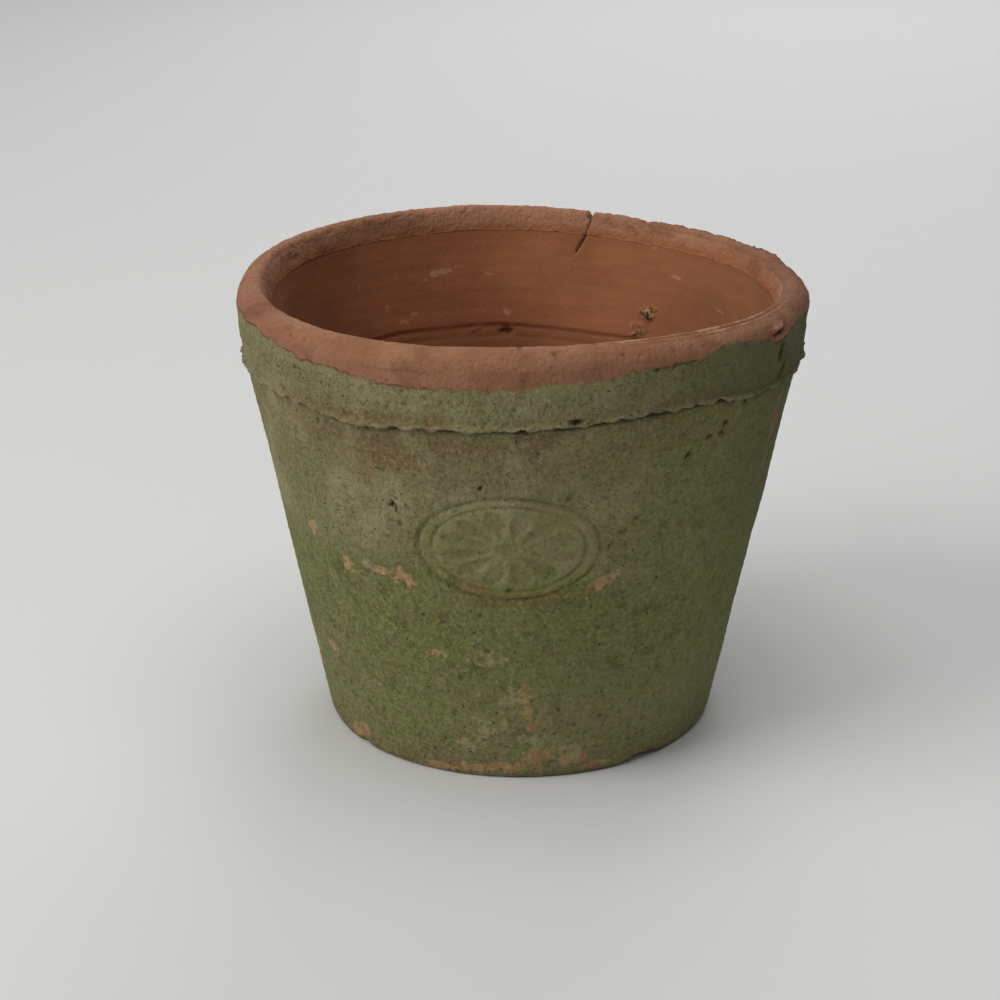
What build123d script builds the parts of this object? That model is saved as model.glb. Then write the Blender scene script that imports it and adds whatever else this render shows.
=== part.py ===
"""Round terracotta plant pot with a rolled rim, a tapered wall and a drained floor.

Units are millimetres. The origin is at the middle of the underside, +Z is up, and the
stamped oval faces -Y. The pot is turned clay, so every piece is revolved about Z. The
pieces meet face to face where the clay was joined: the wall stands on the floor disc,
and the rim collar sits over a tongue at the top of the wall.
"""
from build123d import *
import math
import os

# Driving dimensions
HEIGHT = 131.5
RIM_RADIUS = 80.0
BASE_RADIUS = 56.0
OUTER_TAPER = 0.2              # radius gained per millimetre of height, outside
FLOOR_THICKNESS = 9.0
FLOOR_INNER_RADIUS = 50.0      # inside of the wall where it leaves the floor
FOOT_ROUND = 1.5               # rounding of the bottom edge
COVE = 4.0                     # bevel in the corner between floor and wall
DRAIN_RADIUS = 9.0

# Rim collar
SEAM_HEIGHT = 109.5            # underside of the collar, outside
SEAM_LEDGE = 0.9               # how far the collar stands proud of the wall
WIDEST_HEIGHT = 125.7          # where the collar reaches the rim radius
CREST_RADIUS = 74.4            # top of the rounded crown
LIP_HEIGHT = 124.5             # lower edge of the collar, inside
LIP_RADIUS = 70.0
LIP_OVERHANG = 0.5             # how far the lip stands in from the wall
LIP_TOP_DROP = 2.4             # the lip's slope stops this far below the crest
LIP_TOP_RADIUS = 71.9
TONGUE_RADIUS = 75.0           # outside of the wall's tongue

# Stamped oval on the front of the wall
STAMP_X = -3.6
STAMP_Z = 74.0
STAMP_WIDTH = 49.0
STAMP_HEIGHT = 31.0
STAMP_LINE = 1.2               # width of each pressed line
STAMP_GAP = 1.6                # clay left between the two lines
STAMP_DEPTH = 0.7
SKIN_CLEARANCE = 2.0           # how far the stamp's cutter stands outside the wall


def outer_radius(height):
    """Outside radius of the tapered body at a height."""
    return BASE_RADIUS + OUTER_TAPER * height


SEAM_RADIUS = outer_radius(SEAM_HEIGHT)
INNER_TOP_RADIUS = LIP_RADIUS + LIP_OVERHANG


def save(piece, name):
    """Label a finished piece and write it to its own file."""
    piece.label = name
    export_step(piece, f"parts/{name}.step")


# Floor disc: full width, with the drain hole in its middle
with BuildPart() as floor_disc:
    with BuildSketch(Plane.XZ):
        with BuildLine():
            Polyline(
                (DRAIN_RADIUS, 0),
                (BASE_RADIUS, 0),
                (outer_radius(FLOOR_THICKNESS), FLOOR_THICKNESS),
                (DRAIN_RADIUS, FLOOR_THICKNESS),
                close=True,
            )
        make_face()
    revolve(axis=Axis.Z)
    foot_edge = floor_disc.edges().filter_by(GeomType.CIRCLE).group_by(Axis.Z)[0]
    fillet(foot_edge.sort_by(SortBy.RADIUS)[-1], FOOT_ROUND)

# Stamp cutter: two oval rings pressed to one depth into the tapered wall
with BuildPart() as stamp_cutter:
    with BuildSketch(Plane.XZ):
        with BuildLine():
            Polyline(
                (outer_radius(FLOOR_THICKNESS) - STAMP_DEPTH, FLOOR_THICKNESS),
                (outer_radius(FLOOR_THICKNESS) + SKIN_CLEARANCE, FLOOR_THICKNESS),
                (SEAM_RADIUS + SKIN_CLEARANCE, SEAM_HEIGHT),
                (SEAM_RADIUS - STAMP_DEPTH, SEAM_HEIGHT),
                close=True,
            )
        make_face()
    revolve(axis=Axis.Z)
    with BuildSketch(Plane.XZ) as stamp_outline:
        with Locations((STAMP_X, STAMP_Z)):
            for inset in (0, STAMP_LINE + STAMP_GAP):
                ring_width = STAMP_WIDTH / 2 - inset
                ring_height = STAMP_HEIGHT / 2 - inset
                Ellipse(ring_width, ring_height)
                Ellipse(ring_width - STAMP_LINE, ring_height - STAMP_LINE, mode=Mode.SUBTRACT)
    extrude(amount=RIM_RADIUS, mode=Mode.INTERSECT)

# Wall: tapered shell that ends in a tongue under the collar
with BuildPart() as wall:
    with BuildSketch(Plane.XZ):
        with BuildLine():
            Polyline(
                (FLOOR_INNER_RADIUS - COVE, FLOOR_THICKNESS),
                (outer_radius(FLOOR_THICKNESS), FLOOR_THICKNESS),
                (SEAM_RADIUS, SEAM_HEIGHT),
                (TONGUE_RADIUS, SEAM_HEIGHT),
                (TONGUE_RADIUS, LIP_HEIGHT),
                (INNER_TOP_RADIUS, LIP_HEIGHT),
                (FLOOR_INNER_RADIUS, FLOOR_THICKNESS + COVE),
                close=True,
            )
        make_face()
    revolve(axis=Axis.Z)
    add(stamp_cutter.part, mode=Mode.SUBTRACT)

# Rim collar: outer band, rounded crown and sloping inner lip
crown_radius = RIM_RADIUS - CREST_RADIUS
crown_height = HEIGHT - crown_radius
crown_mid = (
    CREST_RADIUS + crown_radius * math.cos(math.radians(45)),
    crown_height + crown_radius * math.sin(math.radians(45)),
)
with BuildPart() as rim_collar:
    with BuildSketch(Plane.XZ):
        with BuildLine():
            Polyline(
                (TONGUE_RADIUS, SEAM_HEIGHT),
                (SEAM_RADIUS + SEAM_LEDGE, SEAM_HEIGHT),
                (RIM_RADIUS, WIDEST_HEIGHT),
                (RIM_RADIUS, crown_height),
            )
            ThreePointArc((RIM_RADIUS, crown_height), crown_mid, (CREST_RADIUS, HEIGHT))
            TangentArc(
                (CREST_RADIUS, HEIGHT),
                (LIP_TOP_RADIUS, HEIGHT - LIP_TOP_DROP),
                tangent=(-1, 0),
            )
            Polyline(
                (LIP_TOP_RADIUS, HEIGHT - LIP_TOP_DROP),
                (LIP_RADIUS, LIP_HEIGHT),
                (TONGUE_RADIUS, LIP_HEIGHT),
                (TONGUE_RADIUS, SEAM_HEIGHT),
            )
        make_face()
    revolve(axis=Axis.Z)

os.makedirs("parts", exist_ok=True)
save(floor_disc.part, "floor_disc")
save(wall.part, "wall")
save(rim_collar.part, "rim_collar")
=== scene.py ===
"""A weathered terracotta plant pot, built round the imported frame.

The pot's three clay pieces are turned meshes with their wear modelled in: the wavy rim
and seam, chips, cracks, pits, turning lines and a pressed oval with a plain flower.
Angles go round the pot in degrees: 0 is the front (-Y), 90 is +X and 180 is the back.
Lengths are millimetres, and each mesh is put into metres as it is made.
"""
import math

import bpy
import numpy as np
from mathutils import Euler, Matrix, Vector


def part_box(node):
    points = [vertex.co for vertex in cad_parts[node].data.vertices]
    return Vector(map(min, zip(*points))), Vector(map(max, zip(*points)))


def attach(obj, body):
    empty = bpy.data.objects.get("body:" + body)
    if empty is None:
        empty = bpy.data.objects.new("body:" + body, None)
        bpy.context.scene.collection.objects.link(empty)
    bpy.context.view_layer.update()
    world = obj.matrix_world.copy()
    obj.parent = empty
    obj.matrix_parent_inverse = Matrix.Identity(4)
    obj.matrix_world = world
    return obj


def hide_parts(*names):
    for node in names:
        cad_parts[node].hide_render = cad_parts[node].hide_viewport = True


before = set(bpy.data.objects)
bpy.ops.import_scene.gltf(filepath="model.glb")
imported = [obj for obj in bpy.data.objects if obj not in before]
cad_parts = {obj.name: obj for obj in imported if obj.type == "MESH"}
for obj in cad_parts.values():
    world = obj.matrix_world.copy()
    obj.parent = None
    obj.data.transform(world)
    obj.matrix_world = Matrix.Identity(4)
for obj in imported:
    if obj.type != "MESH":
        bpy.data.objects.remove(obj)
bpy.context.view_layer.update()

MM = 0.001

# ---------------- sizes from the frame


def box_mm(node):
    """Lowest and highest corner of a CAD node, in millimetres."""
    low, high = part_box(node)
    return np.array(low) / MM, np.array(high) / MM


collar_low, collar_high = box_mm("rim_collar")
wall_low, wall_high = box_mm("wall")
floor_low, floor_high = box_mm("floor_disc")

HEIGHT = collar_high[2]
RIM_RADIUS = (collar_high[1] - collar_low[1]) / 2
SEAM_HEIGHT = collar_low[2]
SEAM_RADIUS = (wall_high[1] - wall_low[1]) / 2
LIP_HEIGHT = wall_high[2]
FLOOR_TOP = floor_high[2]
FLOOR_EDGE_RADIUS = (floor_high[1] - floor_low[1]) / 2
TAPER = (SEAM_RADIUS - FLOOR_EDGE_RADIUS) / (SEAM_HEIGHT - FLOOR_TOP)
BASE_RADIUS = FLOOR_EDGE_RADIUS - TAPER * FLOOR_TOP

# Sizes that the boxes don't give, the same as in the CAD model
LIP_RADIUS = 70.0
TONGUE_RADIUS = 75.0
CREST_RADIUS = 74.4
INNER_TOP_RADIUS = 70.5
INNER_FOOT_RADIUS = 50.0
COVE = 4.0
DRAIN_RADIUS = 9.0
FOOT_ROUND = 1.6

# The pot leans a little: its foot is this far to one side of its rim
LEAN = -1.3


# ---------------- noise and soft shapes


def smooth(value, low, high):
    """0 below low, 1 above high, with an eased step between."""
    t = np.clip((value - low) / (high - low), 0.0, 1.0)
    return t * t * (3.0 - 2.0 * t)


def gradient_noise(points, size, seed):
    """Smooth noise at 3-D points, about -1 to 1, whose lumps are about `size` across."""
    rng = np.random.default_rng(seed)
    table = rng.permutation(256)
    gradients = rng.normal(size=(256, 3))
    gradients /= np.linalg.norm(gradients, axis=1)[:, None]
    twist = np.array(Euler(rng.uniform(0.0, math.pi, 3)).to_matrix())
    scaled = points @ twist / size
    cell = np.floor(scaled).astype(int)
    part = scaled - cell
    ease = part ** 3 * (part * (part * 6.0 - 15.0) + 10.0)
    total = np.zeros(points.shape[:-1])
    for corner in np.ndindex(2, 2, 2):
        at = (cell + corner) & 255
        code = table[(table[(table[at[..., 0]] + at[..., 1]) & 255] + at[..., 2]) & 255]
        weight = np.prod(np.where(corner, ease, 1.0 - ease), axis=-1)
        total += weight * np.sum(gradients[code] * (part - corner), axis=-1)
    return total * 1.7


def layered_noise(points, size, seed, layers=3, fall=0.5):
    """Gradient noise with finer layers added, each half the size of the one before."""
    total = 0.0
    strength = 1.0
    for layer in range(layers):
        total = total + strength * gradient_noise(points, size / 2 ** layer, seed + layer)
        strength *= fall
    return total


def turn(angle, centre):
    """Signed angle from a centre, the short way round, in degrees."""
    return (angle - centre + 180.0) % 360.0 - 180.0


def swell(angle, centre, width, power=2):
    """A bump round the pot: 1 at its centre and small beyond its width, in degrees."""
    return np.exp(-np.abs(turn(angle, centre) / width) ** power)


# ---------------- the wavy rim and seam


def crest_height(angle):
    """Height of the rim's crest: highest at the back left, with a step down at the right."""
    rise = 3.4 * swell(angle, -142, 58, 4) + 2.0 * swell(angle, 8, 36) + 0.6 * swell(angle, -55, 20)
    return HEIGHT - 3.5 + rise - 0.9 * swell(angle, 97, 8.6, 8)


def seam_height(angle):
    """Height of the collar's lower edge, which rises at the front right."""
    rise = 2.6 * swell(angle, 27, 22) + 0.9 * swell(angle, 39, 6) - 1.7 * swell(angle, -34, 11)
    back = 1.2 * swell(angle, 150, 35) - 0.9 * swell(angle, -120, 25)
    return SEAM_HEIGHT - 1.1 + rise + back


def moss_line(angle):
    """Height of the algae's upper edge on the collar: three long waves, uneven at the right."""
    rise = 1.6 * swell(angle, 44, 9, 2) - 1.2 * swell(angle, 57, 8, 4) + 2.6 * swell(angle, 74, 11, 4)
    return 121.6 + 2.4 * np.sin(np.radians(3.0 * (angle - 12.0))) + rise


def body_radius(height):
    """Outside radius of the tapered body."""
    return BASE_RADIUS + TAPER * height


def inner_radius(height):
    """Inside radius of the wall above its cove."""
    slope = (INNER_TOP_RADIUS - INNER_FOOT_RADIUS) / (LIP_HEIGHT - FLOOR_TOP - COVE)
    return INNER_FOOT_RADIUS + slope * (height - FLOOR_TOP - COVE)


# ---------------- turned grids


class Turned:
    """A closed section turned about Z, as a grid of rows (section) and columns (angle).

    Each row belongs to one surface of the section, such as "outside" or "inside". The
    grid's points move with push(), and its masks become attributes for the material.
    """

    def __init__(self, angles):
        self.angles = np.asarray(angles, float)
        self.rows = []
        self.surface = []
        self.masks = {}

    def run(self, surface, start, end, spacing):
        """Add a straight run of the section, from its start up to just before its end."""
        start, end = np.array(start, float), np.array(end, float)
        count = max(1, round(float(np.linalg.norm(end - start)) / spacing))
        for step in range(count):
            self.rows.append(start + (end - start) * step / count)
            self.surface.append(surface)

    def arc(self, surface, centre, radii, first, last, spacing):
        """Add an arc of an ellipse, from its first angle up to just before its last."""
        sweep = math.radians(last - first)
        count = max(2, round(abs(sweep) * max(radii) / spacing))
        for step in range(count):
            at = math.radians(first) + sweep * step / count
            self.rows.append(np.array(centre) + np.array(radii) * (math.cos(at), math.sin(at)))
            self.surface.append(surface)

    def close(self):
        """Work out the grid's points, and the direction that each faces in the section."""
        section = np.array(self.rows)
        ahead = np.roll(section, -1, 0) - section
        behind = section - np.roll(section, 1, 0)
        ahead /= np.linalg.norm(ahead, axis=1)[:, None]
        behind /= np.linalg.norm(behind, axis=1)[:, None]
        along = ahead + behind
        facing = np.stack([along[:, 1], -along[:, 0]], -1)
        facing /= np.linalg.norm(facing, axis=1)[:, None]
        shape = (len(section), len(self.angles))
        self.angle = np.broadcast_to(self.angles, shape)
        self.radius = np.repeat(section[:, :1], shape[1], 1)
        self.height = np.repeat(section[:, 1:], shape[1], 1)
        self.facing = facing
        self.surface = np.array(self.surface)

    def on(self, *surfaces):
        """1 on the rows of the named surfaces and 0 elsewhere, as a column."""
        return np.isin(self.surface, surfaces).astype(float)[:, None]

    def points(self):
        """The grid's points in millimetres."""
        around = np.radians(self.angle)
        lean = LEAN * (1.0 - self.height / HEIGHT)
        x = self.radius * np.sin(around) + lean
        return np.stack([x, -self.radius * np.cos(around), self.height], -1)

    def push(self, distance):
        """Move points out along the way they face."""
        self.radius = self.radius + distance * self.facing[:, :1]
        self.height = self.height + distance * self.facing[:, 1:]

    def mask(self, name, value):
        """Keep a 0 to 1 mask, joined to what the mask holds already."""
        value = np.clip(np.broadcast_to(value, self.angle.shape), 0.0, 1.0)
        held = self.masks.get(name, np.zeros(self.angle.shape))
        self.masks[name] = np.maximum(held, value)

    def spot(self, angle, height, width, tall, tilt=0.0, ragged=0.0, seed=1, power=2):
        """A soft patch on the surface: 1 in its middle, with a ragged outline if asked."""
        across = np.radians(turn(self.angle, angle)) * self.radius
        up = self.height - height
        cosine, sine = math.cos(math.radians(tilt)), math.sin(math.radians(tilt))
        u = (across * cosine + up * sine) / (width / 2)
        v = (-across * sine + up * cosine) / (tall / 2)
        reach = np.sqrt(u * u + v * v)
        if ragged:
            near = reach < 3.0
            points = self.points()[near]
            reach[near] += ragged * layered_noise(points, min(width, tall) / 1.6, seed, 2)
        return np.exp(-np.clip(reach, 0, 6) ** power)

    def mesh(self, name, sharp_between=()):
        """Make the closed mesh, with its masks as attributes."""
        rows, columns = self.angle.shape
        row, column = np.meshgrid(np.arange(rows), np.arange(columns), indexing="ij")
        next_row, next_column = (row + 1) % rows, (column + 1) % columns
        corners = (
            row * columns + column,
            row * columns + next_column,
            next_row * columns + next_column,
            next_row * columns + column,
        )
        faces = np.stack([c.ravel() for c in corners], -1)
        mesh = bpy.data.meshes.new(name)
        mesh.vertices.add(rows * columns)
        mesh.vertices.foreach_set("co", (self.points().reshape(-1, 3) * MM).ravel())
        mesh.loops.add(faces.size)
        mesh.loops.foreach_set("vertex_index", faces.ravel().astype(np.int32))
        mesh.polygons.add(len(faces))
        mesh.polygons.foreach_set("loop_start", np.arange(0, faces.size, 4, dtype=np.int32))
        mesh.update(calc_edges=True)
        mesh.validate()
        mesh.polygons.foreach_set("use_smooth", np.ones(len(faces), bool))
        self.mark_sharp(mesh, columns)
        for mask, value in self.masks.items():
            layer = mesh.attributes.new(mask, "FLOAT", "POINT")
            layer.data.foreach_set("value", value.ravel().astype(np.float32))
        piece = bpy.data.objects.new(name, mesh)
        bpy.context.collection.objects.link(piece)
        return piece

    def mark_sharp(self, mesh, columns):
        """Keep a crisp edge where one surface of the section meets another, except where the crown or
        the lip begins.
        """
        edges = np.empty(len(mesh.edges) * 2, np.int32)
        mesh.edges.foreach_get("vertices", edges)
        rows = edges.reshape(-1, 2) // columns
        starts = self.surface != np.roll(self.surface, 1)
        soft = self.surface == "crown"
        sharp = (rows[:, 0] == rows[:, 1]) & starts[rows[:, 0]] & ~soft[rows[:, 0]]
        sharp &= ~(self.surface == "lip")[rows[:, 0]]
        layer = mesh.attributes.new("sharp_edge", "BOOLEAN", "EDGE")
        layer.data.foreach_set("value", sharp)


def even_angles(count):
    """Columns evenly spaced all the way round."""
    return np.arange(count) * 360.0 / count - 180.0


def body_angles():
    """Columns for the body: close together across the oval and the crack, wider elsewhere."""
    runs = ((-28.0, 22.0, 0.3), (22.0, 158.0, 0.7), (158.0, 172.0, 0.35), (172.0, 332.0, 0.7))
    return np.concatenate([np.arange(first, last - 0.1, apart) for first, last, apart in runs])


# ---------------- wear shared by pieces

# Holes in the body just under the seam: angle, height, width, height of the hole
SEAM_HOLES = (
    (44.0, 103.0, 1.8, 1.2),
    (40.0, 100.3, 2.0, 1.1),
    (43.6, 100.5, 3.0, 1.0),
    (49.0, 107.6, 2.2, 1.2),
    (53.0, 108.0, 2.2, 1.4),
    (35.0, 96.5, 1.6, 1.8),
    (-8.5, 91.8, 1.5, 1.0),
    (-28.0, 84.0, 1.2, 1.0),
    (170.0, 101.0, 2.4, 1.3),
    (-130.0, 99.0, 2.6, 1.4),
    (110.0, 94.0, 2.0, 1.5),
)


def scatter_pits(grid, surfaces, count, seed, low, high, depth=(0.15, 0.4), width=(0.9, 2.2)):
    """Press small seeded pits into a surface between two heights."""
    rng = np.random.default_rng(seed)
    on = grid.on(*surfaces)
    dent = np.zeros(grid.angle.shape)
    for _ in range(count):
        angle = rng.uniform(-180, 180)
        height = rng.uniform(low, high)
        across = rng.uniform(*width)
        deep = rng.uniform(*depth)
        stretch = rng.uniform(0.5, 1.1)
        columns = np.abs(turn(grid.angles, angle)) < 3.0
        u = np.radians(turn(grid.angle[:, columns], angle)) * grid.radius[:, columns]
        v = (grid.height[:, columns] - height) / stretch
        dent[:, columns] += deep * np.exp(-(u * u + v * v) * 4.0 / across ** 2)
    dent *= on
    grid.push(-dent)
    # Painted shade: the pits are darkened.
    grid.mask("pit", smooth(dent, 0.08, 0.3))


def body_pits(grid):
    """The body's pits outside, the same on the wall and the floor disc."""
    scatter_pits(grid, ("outside",), 560, 5, 4.0, 107.0)
    for angle, height, width, tall in SEAM_HOLES:
        hole = grid.spot(angle, height, width, tall, 0, 0.4, 64, 4) * grid.on("outside")
        grid.push(-1.0 * hole)
        # Painted shade: the holes under the seam are darkened near-black.
        grid.mask("crack", smooth(hole, 0.1, 0.6))


def body_relief(grid, points):
    """Low unevenness of the turned body outside, the same on the wall and the floor disc."""
    uneven = 0.30 * layered_noise(points, 38.0, 11, 2) + 0.10 * layered_noise(points, 7.0, 17, 3)
    rings = 0.05 * np.sin(grid.height * 2.1 + 2.5 * gradient_noise(points, 30.0, 23))
    return uneven + rings - 0.15


def body_masks(grid):
    """Where the body outside is green, brown, dark or pale, as masks for the material; dark is painted
    shade on the right side.
    """
    points = grid.points()
    on = grid.on("outside", "foot", "under")
    drift = layered_noise(points, 22.0, 31, 3)
    green_top = 67.0 - 4.5 * np.sin(np.radians(grid.angle + 14.0)) + 6.0 * drift
    grid.mask("green", on * smooth(green_top - grid.height, -7.0, 9.0))
    right = swell(grid.angle, 56, 42, 4) * smooth(grid.height, 20, 70)
    grid.mask("green", on * 0.8 * right)
    dark_rise = 0.45 + 0.55 * smooth(grid.height, 30, 95)
    # Painted shade: the right side of the body is darkened, more towards the top, as if shaded from
    # light on the left.
    grid.mask("dark", on * 0.9 * swell(grid.angle, 82, 36, 4) * dark_rise)
    low = smooth(34.0 + 5.0 * drift - grid.height, -8.0, 16.0)
    grid.mask("dusty", on * low * (0.35 + 0.65 * swell(grid.angle, 45, 50, 4)))
    under_seam = smooth(grid.height, 84.0 + 7.0 * drift, 108.0)
    side = 0.55 + 0.45 * np.cos(np.radians(grid.angle + 25.0))
    grid.mask("brown", on * 0.75 * under_seam * side)
    calm = 0.5 * grid.masks.get("oval", 0.0) + 0.35 * swell(grid.angle, 68, 34, 4)
    grid.mask("coarse", 0.08 + 0.92 * on * (1.0 - calm))
    grid.mask("brown", on * 0.8 * smooth(5.0 + 2.5 * drift - grid.height, -3.0, 3.0))


# ---------------- the pressed oval

OVAL_X = -3.6
OVAL_Z = 73.5
OVAL_WIDTH = 49.0
OVAL_HEIGHT = 31.0
PETALS = 12


def groove(distance, width):
    """Cross-section of a pressed line: 1 in its middle and 0 past its width."""
    return np.exp(-(distance / (width / 2)) ** 2)


def rosette(across, up):
    """A plain flower filling the oval: pressed petals round a small disc, in oval units."""
    reach = np.hypot(across, up)
    phase = np.arctan2(up, across) / (2.0 * math.pi) * PETALS % 1.0
    half_width = 0.44 * np.sin(math.pi * np.clip((reach - 0.20) / 0.56, 0.0, 1.0)) ** 0.6
    aside = (np.abs(phase - 0.5) - half_width) * reach * 2.0 * math.pi / PETALS
    petals = smooth(-aside, -0.01, 0.045) * (reach > 0.20) * (reach < 0.76)
    return np.maximum(petals, smooth(reach, 0.15, 0.10))


def press_oval(grid):
    """Press the double oval and its flower into the front of the wall, partly worn away."""
    on = grid.on("outside")
    u = grid.radius * np.radians(turn(grid.angle, 0.0)) - OVAL_X
    v = (grid.height - OVAL_Z) * math.sqrt(1.0 + TAPER ** 2)
    near = (np.abs(u) < OVAL_WIDTH * 0.6) & (np.abs(v) < OVAL_HEIGHT * 0.65)
    lines = np.zeros(grid.angle.shape)
    uu, vv = u[near], v[near]
    across, up = uu / (OVAL_WIDTH / 2), vv / (OVAL_HEIGHT / 2)
    outer = np.hypot(across, up)
    ring = groove((outer - 1.0) * 18.5, 1.1)
    second = 0.8 * groove((outer - 0.84) * 18.5, 0.9)
    worn = 0.72 + 0.55 * layered_noise(grid.points()[near], 7.0, 41, 2)
    drawn = np.maximum.reduce([ring, second, 0.8 * rosette(across, up)])
    lines[near] = np.clip(worn, 0.45, 1.0) * drawn
    depth = 0.80 * lines
    depth[near] += 0.18 * smooth(1.0 - outer, 0.0, 0.05)
    grid.push(-depth * on)
    # Painted shade: the pressed lines are darkened.
    grid.mask("line", 0.6 * lines * on)
    pressed = np.zeros(grid.angle.shape)
    pressed[near] = smooth(1.06 - outer, 0.0, 0.10)
    grid.mask("oval", pressed * on)


# ---------------- marks on the wall

# Bare chips: angle, height, width, height of the chip, tilt
FRONT_CHIPS = (
    (-43.5, 61.0, 3.2, 4.6, 20),
    (-33.0, 63.0, 4.6, 2.6, 0),
    (-27.6, 62.0, 6.6, 4.6, -25),
    (18.0, 62.0, 8.5, 3.2, 33),
    (-21.0, 39.5, 4.4, 2.0, 0),
)

# A long dull chip under the seam at the right: the same five numbers
WORN_EDGE = (66.5, 94.0, 6.0, 20.0, 4)

# Orange clay showing through the algae low on the front: the same five numbers
ORANGE_PATCHES = (
    (1.5, 29.5, 4.6, 4.6, 0),
    (2.0, 21.0, 3.8, 9.5, 15),
    (4.5, 7.5, 10.0, 4.4, 35),
    (-2.0, 4.0, 9.0, 3.0, 0),
    (14.0, 6.5, 9.0, 5.0, 10),
    (22.0, 3.0, 8.0, 2.4, 0),
    (-11.0, 3.0, 12.0, 3.0, 0),
    (-24.0, 2.0, 9.0, 2.4, 0),
)

# Rusty stains in the film: the same five numbers
RUST_PATCHES = (
    (-11.0, 61.5, 13.0, 4.5, -25),
    (-27.0, 98.5, 16.0, 8.0, 0),
    (-12.0, 103.0, 16.0, 4.0, 0),
    (1.0, 58.5, 24.0, 4.0, 5),
    (-34.0, 92.0, 9.0, 5.0, 20),
    (-18.5, 52.0, 3.5, 3.0, 0),
    (67.0, 97.0, 8.0, 18.0, 4),
    (150.0, 96.0, 20.0, 7.0, 0),
    (-120.0, 88.0, 15.0, 9.0, 10),
    (95.0, 40.0, 18.0, 9.0, -15),
    (-160.0, 30.0, 16.0, 12.0, 5),
)

# Broken lime bloom: angle, height, width, height
LIME_PATCHES = (
    (-9.5, 39.5, 13.0, 5.0),
    (-10.0, 16.5, 14.0, 9.0),
    (-2.5, 27.0, 8.0, 7.0),
    (-15.0, 10.0, 9.0, 6.0),
    (-34.0, 63.0, 12.0, 5.0),
    (15.0, 9.0, 12.0, 8.0),
    (3.0, 12.0, 12.0, 8.0),
)


def chip(grid, angle, height, width, tall, tilt, seed, depth=0.35, mask="bare"):
    """A shallow chip with a ragged outline that bares the clay."""
    shape = grid.spot(angle, height, width * 1.1, tall * 1.1, tilt, 0.8, seed, 3)
    shape = shape * grid.on("outside", "foot")
    grid.push(-depth * smooth(shape, 0.25, 0.6))
    grid.mask(mask, shape)


def lime(grid, angle, height, width, tall):
    """A patch where the material scatters pale crumbs of bloom."""
    grid.mask("lime", grid.on("outside", "foot") * grid.spot(angle, height, width * 1.4, tall * 1.4))


def mark_wall(grid):
    """Chips, patches and bloom, where seen at the front and scattered over the rest."""
    for seed, patch in enumerate(FRONT_CHIPS, 100):
        chip(grid, *patch, seed)
    for seed, patch in enumerate(ORANGE_PATCHES, 200):
        chip(grid, *patch, seed, 0.1, "orange")
    chip(grid, *WORN_EDGE, 120, 0.3, "worn")
    for angle, height, width, tall, tilt in RUST_PATCHES:
        grid.mask("rust", grid.on("outside") * grid.spot(angle, height, width * 1.4, tall * 1.4, tilt))
    for patch in LIME_PATCHES:
        lime(grid, *patch)
    rng = np.random.default_rng(77)
    for seed in range(400, 416):
        angle, height = rng.uniform(80, 310), rng.uniform(14, 92)
        width, tall = rng.uniform(2.5, 8.0), rng.uniform(1.6, 4.5)
        chip(grid, angle, height, width, tall, rng.uniform(-50, 50), seed)
    for seed in range(500, 509):
        angle, height = rng.uniform(80, 310), rng.uniform(2, 34)
        width, tall = rng.uniform(5, 11), rng.uniform(2.5, 6)
        chip(grid, angle, height, width, tall, rng.uniform(-40, 40), seed, 0.1, "orange")
    for _ in range(12):
        angle, height = rng.uniform(80, 310), rng.uniform(8, 46)
        lime(grid, angle, height, rng.uniform(8, 16), rng.uniform(5, 9))


def cut(grid, path, width, depth, surfaces, wander=0.35, seed=1):
    """A thin crack along a path of (angle, height) points."""
    shift = wander * gradient_noise(grid.points(), 3.0, seed)
    nearest = np.full(grid.angle.shape, 1e3)
    for (angle_a, height_a), (angle_b, height_b) in zip(path, path[1:]):
        au = np.radians(turn(grid.angle, angle_a)) * grid.radius + shift
        av = grid.height - height_a
        bu = np.radians(turn(angle_b, angle_a)) * grid.radius
        bv = height_b - height_a
        along = np.clip((au * bu + av * bv) / (bu * bu + bv * bv), 0.0, 1.0)
        nearest = np.minimum(nearest, np.hypot(au - along * bu, av - along * bv))
    mark = groove(nearest, width) * grid.on(*surfaces)
    grid.push(-depth * mark)
    # Painted shade: the crack's groove is darkened near-black.
    grid.mask("crack", smooth(mark, 0.3, 0.9))


# ---------------- the three clay pieces


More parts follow.
